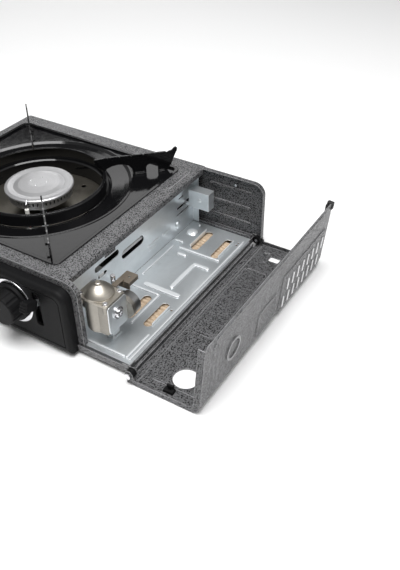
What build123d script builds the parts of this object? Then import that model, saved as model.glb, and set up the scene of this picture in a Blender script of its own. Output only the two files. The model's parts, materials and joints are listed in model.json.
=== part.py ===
"""Portable single-burner gas stove with a side cartridge compartment, lid open.

Frame: millimetres, +X to the cartridge side, +Y to the back, +Z up, lid open as at rest.
The pieces are drawn from the middle of the body's footprint on the table, and moved as
they are written so that the origin is the bottom centre of the whole open stove.
"""
import math
import os

from build123d import *

# ---------------------------------------------------------------- driving dimensions
SHEET = 0.8                 # sheet metal thickness of the painted and zinc pieces
ORIGIN_X = 41.017           # middle of the open stove's outline, from the body's middle
ORIGIN_Y = -7.85

# painted body
SHELL_LEFT = -186.0         # outer face of the left wall
SHELL_FRONT = -125.0        # outer face of the front wall
SHELL_BACK = 135.0          # outer face of the rear wall
SHELL_TOP = 90.0            # top of the frame above the table
SHELL_FOOT = 6.0            # lower edge of the walls, inside the base pan
CORNER_R = 14.0             # rolled corner of the body
STRIP_EDGE = 105.0          # right-hand edge of the top strip
LIP_DEPTH = 7.5             # lip folded down at that edge

# base pan and feet
BASE_LEFT = -187.0
BASE_RIGHT = 173.9
BASE_FRONT = -127.0
BASE_BACK = 136.0
BASE_BOTTOM = 4.0
BASE_RIM = 12.4
FOOT_R = 8.0

# cartridge compartment
FLOOR_TOP = 12.0
FLOOR_LEFT = 91.0
FLOOR_RIGHT = 173.0
FLOOR_FRONT = -122.5
FLOOR_BACK = 128.4
PART_X = 90.0               # compartment side of the partition is PART_X + SHEET
FRONT_WALL_RIGHT = 118.0
REAR_WALL_RIGHT = 186.6

# cartridge axis, used by the connector
CART_X = 142.0
CART_Z = 47.0

# lid
HINGE_X = 179.5
HINGE_Z = 10.8
LID_FRONT = -134.0
LID_BACK = 140.0
LID_REACH = 259.8           # outer face of the standing panel, lid open
LID_UNDER = 0.5             # outer face of the flat panel above the table
LID_HIGH = 89.5             # length of the standing panel, measured up its face
LID_LEAN = 5.0              # degrees that the standing panel leans outwards
LID_CORNER = 12.0

# burner and tray
BURN_X = -41.0
BURN_Y = 2.5
TRAY_W = 248.0
TRAY_D = 226.0
TRAY_FLOOR = 88.0
DISH_R = 108.0
NECK_R = 75.0
RING_TOP = 96.5
ARM_TOP = 113.5
ARM_TURN = 43.6             # arms point into the tray's corners
SPARK_TURN = -66.0          # side of the burner where the electrode stands

# controls
KNOB_X = 42.0
KNOB_Z = 50.0
LEVER_X = 74.0
LEVER_Y = -112.0
LEVER_Z = 50.0


# ---------------------------------------------------------------- small helpers
def box(x0, x1, y0, y1, z0, z1):
    return Pos((x0 + x1) / 2, (y0 + y1) / 2, (z0 + z1) / 2) * Box(x1 - x0, y1 - y0, z1 - z0)


def post(x, y, z0, z1, r):
    return Pos(x, y, (z0 + z1) / 2) * Cylinder(r, z1 - z0)


def rod_y(x, z, y0, y1, r):
    return Pos(x, (y0 + y1) / 2, z) * Rot(90, 0, 0) * Cylinder(r, y1 - y0)


def rod_x(y, z, x0, x1, r):
    return Pos((x0 + x1) / 2, y, z) * Rot(0, 90, 0) * Cylinder(r, x1 - x0)


def slab(cx, cy, w, d, r, z0, z1):
    """Rounded rectangle seen from above, standing from z0 to z1."""
    return extrude(Pos(cx, cy, z0) * RectangleRounded(w, d, r), amount=z1 - z0)


def slot_z(cx, cy, length, width, z0, z1, turn=0.0):
    """Round-ended slot or bead seen from above; turn 90 puts it along Y."""
    return extrude(Pos(cx, cy, z0) * Rot(0, 0, turn) * SlotOverall(length, width), amount=z1 - z0)


def slot_x(y0, y1, z0, z1, x0, x1):
    """Round-ended opening through a plate that faces X."""
    width = min(y1 - y0, z1 - z0)
    r = width / 2 - 0.01
    b = box(x0, x1, y0, y1, z0, z1)
    return fillet(b.edges().filter_by(Axis.X), r)


def slot_y(x0, x1, z0, z1, y0, y1, r=None):
    """Rounded opening through a plate that faces Y."""
    width = min(x1 - x0, z1 - z0)
    if r is None:
        r = width / 2 - 0.01
    b = box(x0, x1, y0, y1, z0, z1)
    return fillet(b.edges().filter_by(Axis.Y), r)


def end_profile(x0, x1, z0, z1, y0, y1, r_left, r_right):
    """Block with its two upper corners rolled, used for the body's cross-section."""
    b = box(x0, x1, y0, y1, z0, z1)
    top = b.edges().filter_by(Axis.Y).group_by(Axis.Z)[-1].sort_by(Axis.X)
    if r_right > 0:
        b = fillet(top[-1], r_right)
    top = b.edges().filter_by(Axis.Y).filter_by(lambda e: abs(e.center().X - x0) < 0.01)
    if r_left > 0:
        b = fillet(top.sort_by(Axis.Z)[-1], r_left)
    return b


def tube_path(points, r):
    """Round bar that follows straight runs joined by ball corners."""
    body = None
    for a, b in zip(points[:-1], points[1:]):
        va = Vector(*a)
        vb = Vector(*b)
        d = vb - va
        run = extrude(Plane(origin=va, z_dir=d) * Circle(r), amount=d.length)
        body = run if body is None else body + run
    for p in points[1:-1]:
        body = body + Pos(*p) * Sphere(r)
    return body


def screw_z(x, y, z_head, z_tip, head_r=2.6, shank_r=1.4, head_h=1.7):
    """Pan-head screw driven downwards; z_head is the underside of the head."""
    head = post(x, y, z_head, z_head + head_h, head_r)
    head = fillet(head.edges().group_by(Axis.Z)[-1], 0.7)
    head = head - box(x - 1.7, x + 1.7, y - 0.3, y + 0.3, z_head + head_h - 0.7, z_head + head_h + 1)
    head = head - box(x - 0.3, x + 0.3, y - 1.7, y + 1.7, z_head + head_h - 0.7, z_head + head_h + 1)
    return head + post(x, y, z_tip, z_head, shank_r)


def screw_y(x, z, y_head, y_tip, head_r=3.2, shank_r=1.5, head_h=2.0):
    """Pan-head screw along Y; the head is on the far side of y_head from y_tip."""
    s = 1.0 if y_head > y_tip else -1.0
    a = y_head
    b = y_head + s * head_h
    head = rod_y(x, z, min(a, b), max(a, b), head_r)
    outer = head.edges().filter_by(GeomType.CIRCLE).filter_by(lambda e: abs(e.center().Y - b) < 0.01)
    head = fillet(outer, 0.8)
    head = head - box(x - 2.0, x + 2.0, min(b, b - s * 0.8), max(b, b - s * 0.8), z - 0.35, z + 0.35)
    head = head - box(x - 0.35, x + 0.35, min(b, b - s * 0.8), max(b, b - s * 0.8), z - 2.0, z + 2.0)
    return head + rod_y(x, z, min(y_tip, y_head), max(y_tip, y_head), shank_r)


def around(shape, count):
    """Copies of a shape turned about the burner's axis."""
    out = []
    for i in range(count):
        turn = Pos(BURN_X, BURN_Y, 0) * Rot(0, 0, 360.0 * i / count) * Pos(-BURN_X, -BURN_Y, 0)
        out.append(turn * shape)
    return out


def ring_z(x, y, z0, z1, r_out, r_in):
    return post(x, y, z0, z1, r_out) - post(x, y, z0 - 1, z1 + 1, r_in)


# ---------------------------------------------------------------- base and feet
def make_base_pan():
    cx = (BASE_LEFT + BASE_RIGHT) / 2
    cy = (BASE_FRONT + BASE_BACK) / 2
    w = BASE_RIGHT - BASE_LEFT
    d = BASE_BACK - BASE_FRONT
    pan = slab(cx, cy, w, d, 3, BASE_BOTTOM, BASE_RIM)
    low = pan.edges().group_by(Axis.Z)[0]
    pan = fillet(low, 1.5)
    pan = pan - slab(cx, cy, w - 2 * SHEET, d - 2 * SHEET, 0.6, BASE_BOTTOM + SHEET, BASE_RIM + 5)
    # lower rim on the lid side, so that the lid can fold past it
    pan = pan - box(BASE_RIGHT - 4, BASE_RIGHT + 2, BASE_FRONT + 12, BASE_BACK - 12, 10.0, 20)
    # flange that closes the gap below the lid's lip
    pan = pan + box(BASE_RIGHT - 2, 176.3, -120.0, 125.0, BASE_BOTTOM, BASE_BOTTOM + SHEET)
    # ears that carry the lid's hinge pins
    for y0, y1 in ((BASE_FRONT, BASE_FRONT + SHEET), (BASE_BACK - SHEET, BASE_BACK)):
        ear = box(BASE_RIGHT - 7, HINGE_X, y0, y1, 6.2, 15.4) + rod_y(HINGE_X, HINGE_Z, y0, y1, 4.6)
        pan = pan + ear
        pan = pan - rod_y(HINGE_X, HINGE_Z, y0 - 1, y1 + 1, 2.0)
    # stiffening ribs pressed into the bottom
    for x in (-120, -80, 0, 40):
        pan = pan + slot_z(x, 70, 90, 6, BASE_BOTTOM + SHEET, BASE_BOTTOM + SHEET + 1.2, 90)
    # air inlets under the burner
    for i in range(7):
        pan = pan - slot_z(BURN_X - 45 + 15 * i, -70, 40, 5, 0, 8, 90)
    for i in range(7):
        pan = pan - slot_z(BURN_X - 45 + 15 * i, 2.5, 30, 5, 0, 8, 90)
    for x, y in foot_places():
        pan = pan - post(x, y, 0, 10, 1.6)
    return pan


def foot_places():
    return ((-166, -106), (152, -106), (-166, 116), (152, 116))


def make_foot(x, y):
    foot = post(x, y, 0, BASE_BOTTOM, FOOT_R)
    foot = fillet(foot.edges().group_by(Axis.Z)[0], 1.2)
    foot = foot - post(x, y, -1, 2.2, 4.0)
    return foot - post(x, y, 0, 6, 1.6)


def make_foot_screws():
    out = []
    for x, y in foot_places():
        s = post(x, y, 0.7, 2.2, 3.0) + post(x, y, 2.2, 7.0, 1.5)
        out.append(s - box(x - 2, x + 2, y - 0.3, y + 0.3, 0, 1.3))
    return out


# ---------------------------------------------------------------- painted body
def make_body_shell():
    y0, y1 = SHELL_FRONT, SHELL_BACK
    outer = end_profile(SHELL_LEFT, STRIP_EDGE, SHELL_FOOT, SHELL_TOP, y0, y1, CORNER_R, 2.0)
    inner = end_profile(SHELL_LEFT + SHEET, STRIP_EDGE - SHEET, SHELL_FOOT - 5, SHELL_TOP - SHEET,
                        y0 - 1, y1 + 1, CORNER_R - SHEET, 1.2)
    shell = outer - inner
    shell = shell - box(STRIP_EDGE - 6, STRIP_EDGE + 6, y0 - 1, y1 + 1, 0, SHELL_TOP - LIP_DEPTH)
    # the lip stops short of the two end walls and is deeper over the lock's window
    for ya, yb in ((y0 - 1, y0 + 5.9), (y1 - 5.9, y1 + 1)):
        shell = shell - box(STRIP_EDGE - SHEET - 1.4, STRIP_EDGE + 2, ya, yb, 70, SHELL_TOP - SHEET)
    shell = shell + box(STRIP_EDGE - SHEET, STRIP_EDGE, -63, -46, 79.0, 84.0)
    # tray opening with its edge folded down
    shell = shell + (slab(BURN_X, BURN_Y, 244.4, 222.4, 8.4, 84.0, SHELL_TOP - SHEET)
                     - slab(BURN_X, BURN_Y, 242.8, 220.8, 7.6, 80.0, SHELL_TOP))
    shell = shell - slab(BURN_X, BURN_Y, 242.8, 220.8, 7.6, 80.0, SHELL_TOP + 5)
    # stiffening bead pressed into the strips
    shell = shell + slot_z(94.0, 92.0, 46, 5, SHELL_TOP - 0.1, SHELL_TOP + 0.45, 90)
    # air outlets in the left wall
    for i in range(8):
        y = -63 + 18 * i
        shell = shell - slot_x(y - 2.2, y + 2.2, 34, 62, SHELL_LEFT - 2, SHELL_LEFT + 4)
    return shell


def make_front_wall():
    y0 = SHELL_FRONT
    left = SHELL_LEFT + SHEET + 0.05
    top = SHELL_TOP - SHEET - 0.05
    full = end_profile(left, FRONT_WALL_RIGHT, SHELL_FOOT, top, y0, y0 + 5.8, CORNER_R - SHEET, CORNER_R)
    core = end_profile(left + SHEET, FRONT_WALL_RIGHT - SHEET, SHELL_FOOT - 2, top - SHEET,
                       y0 + SHEET, y0 + 9, CORNER_R - 2 * SHEET, CORNER_R - SHEET)
    wall = full - core
    wall = wall - rod_y(KNOB_X, KNOB_Z, y0 - 2, y0 + 3, 7.0)
    wall = wall - box(LEVER_X - 3.5, LEVER_X + 3.5, y0 - 2, y0 + 3, 30, 70)
    # clear of the compartment floor
    wall = wall - box(PART_X, FRONT_WALL_RIGHT + 1, y0 + 2.0, y0 + 7, 0, FLOOR_TOP + 0.1)
    for i in range(4):
        wall = wall - slot_y(-150 + 30 * i, -130 + 30 * i, 40, 45, y0 - 2, y0 + 3)
    return wall


def make_rear_wall():
    y1 = SHELL_BACK
    left = SHELL_LEFT + SHEET + 0.05
    top = SHELL_TOP - SHEET - 0.05
    full = end_profile(left, REAR_WALL_RIGHT, SHELL_FOOT, top, y1 - 5.8, y1, CORNER_R - SHEET, CORNER_R)
    core = end_profile(left + SHEET, REAR_WALL_RIGHT - SHEET, SHELL_FOOT - 2, top - SHEET,
                       y1 - 9, y1 - SHEET, CORNER_R - 2 * SHEET, CORNER_R - SHEET)
    wall = full - core
    # clear of the lid hinge at the lower right
    wall = wall - box(BASE_RIGHT - 1, REAR_WALL_RIGHT + 2, y1 - 9, y1 + 2, 0, 17.0)
    # ribs pressed in behind the cartridge
    for z in (29.0, 50.0, 71.0):
        rib = slot_y(112, 169, z - 2.2, z + 2.2, y1 - SHEET - 1.8, y1 - SHEET + 0.1)
        face = rib.edges().filter_by(lambda e: abs(e.center().Y - (y1 - SHEET - 1.8)) < 0.02)
        wall = wall + fillet(face, 1.4)
    # ledge that meets the compartment floor
    wall = wall + box(PART_X + 3, BASE_RIGHT - 2, y1 - 6.0, y1 - 0.1, FLOOR_TOP + 0.2, FLOOR_TOP + 3.0)
    # exhaust slots behind the burner
    for i in range(8):
        x = BURN_X - 105 + 30 * i
        wall = wall - slot_y(x - 10, x + 10, 62, 67, y1 - 3, y1 + 2)
    for x in (-150, 70, 150):
        wall = wall - rod_y(x, 80, y1 - 3, y1 + 2, 1.6)
    return wall


def make_body_screws():
    return [screw_y(x, 80, SHELL_BACK, SHELL_BACK - 6) for x in (-150, 70, 150)]


# ---------------------------------------------------------------- compartment
def make_partition():
    x0, x1 = PART_X, PART_X + SHEET
    y0, y1 = -119.0, 128.4
    wall = box(x0, x1, y0, y1, FLOOR_TOP + 0.05, 89.1)
    wall = wall + box(83.6, x1, y0, y1, 88.3, 89.1)
    wall = wall + box(83.6, x1, y0 + 6, y1 - 4, FLOOR_TOP + 0.05, FLOOR_TOP + SHEET)
    # flange that ties the panel to the rear wall
    wall = wall + box(x0, x0 + 9, y1 - SHEET, y1, FLOOR_TOP + 1, 82)
    # upper window for the lever's crank, lower window for the lock
    wall = wall - slot_x(-66, -24, 54.5, 62.0, x0 - 2, x1 + 2)
    wall = wall - slot_x(-62, -47, 44.5, 49.0, x0 - 2, x1 + 2)
    # window that shows the push rod
    wall = wall - slot_x(-20, 22, 43.0, 54.0, x0 - 2, x1 + 2)
    # gas pipe passage
    wall = wall - rod_x(-102, 50, x0 - 2, x1 + 2, 5.0)
    # slots the pusher reaches through, and the rear lance slots
    wall = wall - box(x0 - 2, x1 + 2, 92, 124, 46.0, 51.0)
    wall = wall - slot_x(96, 107, 59.0, 61.0, x0 - 2, x1 + 2)
    wall = wall - slot_x(90, 118, 38.0, 40.2, x0 - 2, x1 + 2)
    # pressed dimple and stiffening beads on the compartment side
    dimple = rod_x(92, 26, x1 - 0.3, x1 + 2.2, 4.8)
    wall = wall + fillet(dimple.edges().group_by(Axis.X)[-1], 1.8)
    for ya, yb, z in ((28, 52, 31.0), (58, 76, 30.0), (30, 44, 24.5)):
        wall = wall + slot_x(ya, yb, z - 1.5, z + 1.5, x1 - 0.1, x1 + 0.7)
    return wall


def make_floor():
    z0, z1 = FLOOR_TOP - SHEET, FLOOR_TOP
    floor = box(FLOOR_LEFT, FLOOR_RIGHT, FLOOR_FRONT, FLOOR_BACK, z0, z1)
    floor = floor + box(FLOOR_RIGHT - SHEET, FLOOR_RIGHT, FLOOR_FRONT, FLOOR_BACK, 5.2, z1)
    floor = floor + box(FLOOR_LEFT, FLOOR_RIGHT, FLOOR_FRONT, FLOOR_FRONT + SHEET, 5.2, z1)
    # raised beads: (centre x, centre y, length, width, turn)
    beads = ((134.5, -9.5, 48, 7.0, 0), (119.0, -19.0, 36, 3.0, 0), (137.6, -45.0, 54, 3.0, 90),
             (128.0, -115.5, 68, 3.0, 0), (164.5, -97.0, 40, 3.0, 90), (141.5, 23.0, 50, 5.4, 90),
             (150.5, 49.0, 22, 5.4, 0), (118.0, 58.0, 13, 5.0, 0), (135.0, 69.0, 56, 3.5, 0),
             (100.0, 80.0, 12, 3.5, 0), (99.5, 36.0, 66, 2.0, 90), (169.0, 0.0, 236, 2.2, 90))
    for cx, cy, length, width, turn in beads:
        bead = slot_z(cx, cy, length, width, z1 - 0.1, z1 + 1.5, turn)
        top = bead.edges().group_by(Axis.Z)[-1]
        floor = floor + fillet(top, min(1.35, width / 2 - 0.15))
    # air slots over the insulating board
    for cx, cy in ((129.0, -46.0), (153.5, -47.0), (124.0, 95.0), (153.0, 92.0)):
        floor = floor - slot_z(cx, cy, 42, 10, z0 - 5, z1 + 5, 90)
    # turned-up lips beside three of the slots
    for x, ya, yb, h in ((159.0, -64, -31, 3.2), (118.0, 76, 115, 4.0), (158.4, 74, 111, 3.2)):
        floor = floor + box(x, x + SHEET, ya, yb, z0, z1 + h)
    for x, y in ((163.0, -33.0), (164.5, 108.0), (164.5, 113.0)):
        floor = floor - post(x, y, z0 - 1, z1 + 3, 1.4)
    # pressed dome and pip in the back corner
    floor = floor + (Pos(104, 104.5, z1 - 9.1) * Sphere(12.1) & box(90.95, 117.6, 88, 122, z1 - 0.1, 20))
    floor = floor + (Pos(104, 122, z1 - 0.6) * Sphere(2.0) & box(98, 108, 118, 126, z1 - 0.1, 20))
    return floor


def make_insulation():
    """Fluted board lying in the base under the compartment floor."""
    y0, y1 = -119.0, 125.0
    pitch = 6.1
    n = 40
    z_low, z_high = 7.4, 9.0
    with BuildPart() as part:
        with BuildSketch(Plane.YZ.offset(93.0)):
            with BuildLine():
                start = (y0, z_low)
                for i in range(n):
                    a = (y0 + pitch * i, z_low)
                    m = (y0 + pitch * (i + 0.5), z_high)
                    b = (y0 + pitch * (i + 1), z_low)
                    ThreePointArc(a, m, b)
                Polyline(b, (y0 + pitch * n, 5.0), (y0, 5.0), start)
            make_face()
        extrude(amount=78.0)
    board = part.part
    return board - post(152, -106, 0, 20, 4.5) - post(152, 116, 0, 20, 4.5)


# ---------------------------------------------------------------- fascia and controls
def make_fascia():
    y0, y1 = -137.0, SHELL_FRONT - 0.1
    body = end_profile(-175, 111, 5.0, 82.4, y0, y1, 13, 13)
    front = body.edges().filter_by(lambda e: abs(e.center().Y - y0) < 0.01)
    body = fillet(front, 5.0)
    hollow = end_profile(-172.5, 108.5, 7.5, 79.9, y0 + 2.6, y1 + 2, 11, 11)
    body = body - hollow
    body = body - box(-190, 130, BASE_FRONT - 0.1, y1 + 2, 0, BASE_RIM + 0.3)
    # inset line that frames the control panel
    frame = end_profile(-168, 104, 12, 75.4, y0 - 1, y0 + 0.7, 9, 9)
    frame = frame - end_profile(-167, 103, 13, 74.4, y0 - 2, y0 + 2, 8, 8)
    body = body - frame
    # round seat for the knob and the lever's slot
    body = body + (rod_y(KNOB_X, KNOB_Z, y0 + 0.2, y1 - 2, 13.0) - rod_y(KNOB_X, KNOB_Z, y0 - 1, y1, 10.0))
    body = body - rod_y(KNOB_X, KNOB_Z, y0 - 3, y0 + 4, 10.0)
    body = body - slot_y(LEVER_X - 4.5, LEVER_X + 4.5, 30, 72, y0 - 2, y0 + 6, 3.0)
    return body


def make_knob():
    y0, y1 = -158.0, -139.5
    skirt = rod_y(KNOB_X, KNOB_Z, -143.0, y1, 22.0)
    skirt = fillet(skirt.edges().filter_by(GeomType.CIRCLE).sort_by(Axis.Y)[0], 1.5)
    knob = rod_y(KNOB_X, KNOB_Z, y0, -142.0, 18.0)
    knob = fillet(knob.edges().filter_by(GeomType.CIRCLE).sort_by(Axis.Y)[0], 2.0)
    knob = knob + skirt
    # finger flutes
    for i in range(12):
        a = math.radians(30 * i + 15)
        knob = knob - rod_y(KNOB_X + 20.6 * math.cos(a), KNOB_Z + 20.6 * math.sin(a), y0 - 1, -143.4, 3.4)
    knob = knob - rod_y(KNOB_X, KNOB_Z, y1 - 9, y1 + 2, 3.05)
    knob = knob - box(KNOB_X - 1.3, KNOB_X + 1.3, y0 - 1, y0 + 0.8, KNOB_Z + 3, KNOB_Z + 15)
    return knob


def make_knob_pointer():
    return box(KNOB_X - 1.25, KNOB_X + 1.25, -158.1, -157.25, KNOB_Z + 3.05, KNOB_Z + 14.95)


def make_knob_bezel():
    """Bright ring lying on the fascia behind the knob, with a pointer notch at the top."""
    ring = rod_y(KNOB_X, KNOB_Z, -138.6, -137.05, 26.0) - rod_y(KNOB_X, KNOB_Z, -140, -136, 12.5)
    front = ring.edges().filter_by(GeomType.CIRCLE).filter_by(lambda e: abs(e.center().Y + 138.6) < 0.01)
    return fillet(front, 0.5)


def make_spindle():
    s = rod_y(KNOB_X, KNOB_Z, -148.4, -108.0, 3.0)
    return s + rod_y(KNOB_X, KNOB_Z, -123.0, -119.0, 5.0)


def make_valve():
    v = box(KNOB_X - 16, KNOB_X + 16, -117, -88, 36, 64)
    v = fillet(v.edges().filter_by(Axis.Y), 4.0)
    v = v - rod_y(KNOB_X, KNOB_Z, -118, -107.4, 3.06)
    v = v + rod_y(KNOB_X - 5.5, 52.0, -88.1, -80.6, 6.0)
    v = v + rod_x(-102, 50, KNOB_X + 15.9, KNOB_X + 22.0, 6.0)
    v = v - rod_x(-102, 50, KNOB_X + 10.0, KNOB_X + 23.0, 3.05)
    return v


def make_valve_bracket():
    """Plate that hangs the valve and the igniter on the front wall."""
    x0 = KNOB_X - 22.0
    p = box(x0, KNOB_X + 19.5, SHELL_FRONT + SHEET + 0.05, SHELL_FRONT + 2.3, 26, 80)
    p = p - rod_y(KNOB_X, KNOB_Z, -126, -120, 7.0)
    p = p + box(x0, x0 + 1.5, SHELL_FRONT + 2.2, -92, 36, 64) + box(x0, KNOB_X - 16.05, -100, -98.5, 36, 64)
    # saddle under the igniter
    return p + box(KNOB_X - 8, KNOB_X + 8, SHELL_FRONT + 2.2, -100, 65.2, 66.9)


def make_igniter():
    body = rod_y(KNOB_X, 73.0, -122.0, -66.0, 6.0) + rod_y(KNOB_X, 73.0, -66.1, -60.0, 3.0)
    return body - rod_y(KNOB_X, 73.0, -60.5, -53.0, 1.2)


def swing(shape):
    """Turns a piece drawn on the burner's +X side round to the electrode's own side."""
    return shape.rotate(Axis((BURN_X, BURN_Y, 0), (0, 0, 1)), SPARK_TURN)


def make_ignition_wire():
    # down in front of the igniter, under the mixing tube and up to the electrode
    x = BURN_X + 47.0 * math.cos(math.radians(SPARK_TURN))
    y = BURN_Y + 47.0 * math.sin(math.radians(SPARK_TURN))
    pts = [(KNOB_X, -60.4, 73.0), (KNOB_X, -48.0, 73.0), (KNOB_X - 4, -36.0, 60.0),
           (KNOB_X - 10, -34.0, 37.0), (x, y, 37.0), (x, y, 67.4)]
    return tube_path(pts, 1.1)


def make_electrode():
    x = BURN_X + 47.0
    rod = post(x, BURN_Y, 67.5, 84.0, 2.4) + post(x, BURN_Y, 72.0, 74.0, 3.6)
    return swing(rod)


def make_electrode_tip():
    x = BURN_X + 47.0
    return swing(tube_path([(x, BURN_Y, 84.1), (x, BURN_Y, 90.0), (x - 4.5, BURN_Y, 93.2)], 0.6))


def make_electrode_clip():
    x = BURN_X + 47.0
    c = box(BURN_X + 37.0, x + 5, BURN_Y - 5, BURN_Y + 5, 70.4, 71.6)
    c = c - post(x, BURN_Y, 60, 80, 2.45)
    return swing(c - post(BURN_X, BURN_Y, 60, 80, 36.9))


# ---------------------------------------------------------------- gas path and burner
def make_gas_pipe():
    pipe = rod_x(-102, 50, 60.5, 107.0, 3.0)
    return pipe - rod_x(-102, 50, 60.0, 108.0, 2.1)


def burner_line(s, z):
    """Point at distance s from the burner's axis, towards the valve."""
    return (BURN_X + s * math.sqrt(0.5), BURN_Y - s * math.sqrt(0.5), z)


def make_injector():
    a = Vector(*burner_line(106.0, 52.0))
    b = Vector(*burner_line(94.5, 52.0))
    x = KNOB_X - 5.5
    turn_y = BURN_Y - (x - BURN_X)
    hexn = extrude(Plane(origin=a, z_dir=b - a) * RegularPolygon(6.0, 6), amount=7.0)
    tip = extrude(Plane(origin=a, z_dir=b - a) * Circle(3.4), amount=(b - a).length)
    elbow = tube_path([(x, -80.5, 52.0), (x, turn_y, 52.0), tuple(a)], 4.2)
    part = elbow + hexn + tip
    bore = extrude(Plane(origin=a, z_dir=b - a) * Circle(0.8), amount=(b - a).length + 2)
    return part - bore


def make_mixing_tube():
    a = Vector(*burner_line(94.0, 52.0))
    b = Vector(*burner_line(11.0, 52.0))
    d = (b - a)
    p = Plane(origin=a, z_dir=d)
    bell = extrude(p * Circle(9.5), amount=10) + extrude(p * Circle(8.0), amount=d.length)
    bore = extrude(p * Circle(7.0), amount=d.length + 1) + extrude(p * Circle(8.5), amount=9)
    tube = bell - bore
    # primary air ports near the injector
    for z in (43.0, 61.0):
        c = burner_line(80.0, z)
        tube = tube - Pos(*c) * Rot(0, 0, -45) * Box(9, 7, 8)
    return tube - post(BURN_X, BURN_Y, 30, 80, 12.05)


def make_burner_head():
    """Cast body: stem, funnel and the slotted flame ring under the cap."""
    prof = Polyline((0, 44), (12, 44), (12, 64), (20, 68), (33, 74), (37, 77), (37, 86.2), (33.5, 86.2),
                    (33.5, 79), (29, 76.5), (17, 71.5), (9, 66.5), (9, 46), (0, 46), (0, 44))
    head = revolve(Plane.XZ * make_face(prof.edges()), Axis.Z, 360)
    head = Pos(BURN_X, BURN_Y, 0) * head
    head = head - extrude(Plane(origin=burner_line(20, 52.0), z_dir=(-1, 1, 0)) * Circle(7.0), amount=13)
    # flame ports
    port = box(BURN_X + 31, BURN_X + 39, BURN_Y - 0.85, BURN_Y + 0.85, 80.5, 87)
    cuts = around(port, 48)
    for c in cuts:
        head = head - c
    return head


def make_burner_cap():
    prof = Polyline((0, 87.6), (33, 86.3), (33, 84.6), (33.4, 84.6), (33.4, 86.3), (38.5, 86.3), (40, 87.3),
                    (40, 89.4), (39, 90.3), (36, 90.9), (31, 90.2), (29.5, 89.9), (24, 91.2), (12, 92.4),
                    (0, 92.8), (0, 87.6))
    cap = revolve(Plane.XZ * make_face(prof.edges()), Axis.Z, 360)
    cap = Pos(BURN_X, BURN_Y, 0) * cap
    # small pips around the middle
    for i in range(4):
        a = math.radians(20 + 90 * i)
        cap = cap - Pos(BURN_X + 9.5 * math.cos(a), BURN_Y + 9.5 * math.sin(a), 93.6) * Sphere(1.7)
    return cap


def make_burner_bracket():
    """Strap across the base that carries the burner's stem and the heat shield."""
    s = box(-98, 16, BURN_Y - 14, BURN_Y + 14, 42.6, 43.8)
    for x in (-98, 14.8):
        s = s + box(x, x + 1.2, BURN_Y - 14, BURN_Y + 14, 4.85, 43.8)
    s = s + box(-106, -97, BURN_Y - 14, BURN_Y + 14, 4.85, 6.05)
    s = s + box(15, 24, BURN_Y - 14, BURN_Y + 14, 4.85, 6.05)
    # uprights to the shield
    for x in (-98, 14.8):
        s = s + box(x, x + 1.2, BURN_Y + 15.5, BURN_Y + 24, 20, 60.4)
        s = s + box(x, x + 1.2, BURN_Y + 13.9, BURN_Y + 24, 20, 40)
    return s


def make_heat_shield():
    prof = Polyline((38.5, 60.5), (83, 60.5), (86, 62.0), (86, 68), (85, 68), (85, 62.6), (82.6, 61.4),
                    (38.5, 61.4), (38.5, 60.5))
    shield = revolve(Plane.XZ * make_face(prof.edges()), Axis.Z, 360)
    shield = Pos(BURN_X, BURN_Y, 0) * shield
    inner = ring_z(BURN_X, BURN_Y, 60.5, 61.4, 38.6, 13.0)
    shield = shield + inner
    # clearance over the mixing tube
    tube = extrude(Plane(origin=burner_line(104, 52.0), z_dir=(-1, 1, 0)) * Circle(10.2), amount=92)
    shield = shield - tube
    # passage for the electrode and its wire
    shield = shield - swing(post(BURN_X + 47.0, BURN_Y, 55, 70, 4.2))
    for i in range(12):
        a = math.radians(30 * i + 15)
        shield = shield - post(BURN_X + 60 * math.cos(a), BURN_Y + 60 * math.sin(a), 55, 65, 3.0)
    return shield


# ---------------------------------------------------------------- drip tray and pan support
def make_drip_tray():
    rim = slab(BURN_X, BURN_Y, TRAY_W, TRAY_D, 9, 90.3, 91.3)
    rim = fillet(rim.edges().group_by(Axis.Z)[-1], 0.6)
    rim = rim - slab(BURN_X, BURN_Y, 240, 218, 6.2, 89, 93)
    wall = slab(BURN_X, BURN_Y, 241.6, 219.6, 7, TRAY_FLOOR, 91.0)
    wall = wall - slab(BURN_X, BURN_Y, 240, 218, 6.2, TRAY_FLOOR + SHEET, 93)
    tray = rim + wall
    tray = tray - post(BURN_X, BURN_Y, TRAY_FLOOR - 2, TRAY_FLOOR + 3, DISH_R)
    prof = Polyline((108.2, 88.8), (107.4, 88.8), (104.6, 86.4), (99, 85.0), (84, 82.0), (80.4, 80.4),
                    (77.0, 79.3), (75.8, 78.2), (75.8, 62.2), (75.0, 62.2), (75.0, 78.6), (76.6, 80.1),
                    (80.0, 81.2), (83.8, 82.8), (98.8, 85.8), (104.2, 87.1), (107.0, 89.5), (108.2, 89.5),
                    (108.2, 88.8))
    dish = revolve(Plane.XZ * make_face(prof.edges()), Axis.Z, 360)
    dish = Pos(BURN_X, BURN_Y, 0) * dish
    skirt = ring_z(BURN_X, BURN_Y, TRAY_FLOOR, TRAY_FLOOR + 1.5, DISH_R + 1.2, DISH_R - 0.1)
    return tray + dish + skirt


def make_support_ring():
    prof = Polyline((79.2, 83.0), (80.0, 83.2), (78.4, 94.6), (77.6, 96.0), (76.2, 96.5), (75.0, 96.0),
                    (75.0, 95.0), (76.2, 95.2), (77.0, 94.2), (78.4, 83.2), (79.2, 83.0))
    ring = revolve(Plane.XZ * make_face(prof.edges()), Axis.Z, 360)
    ring = Pos(BURN_X, BURN_Y, 0) * ring
    return ring


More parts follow.
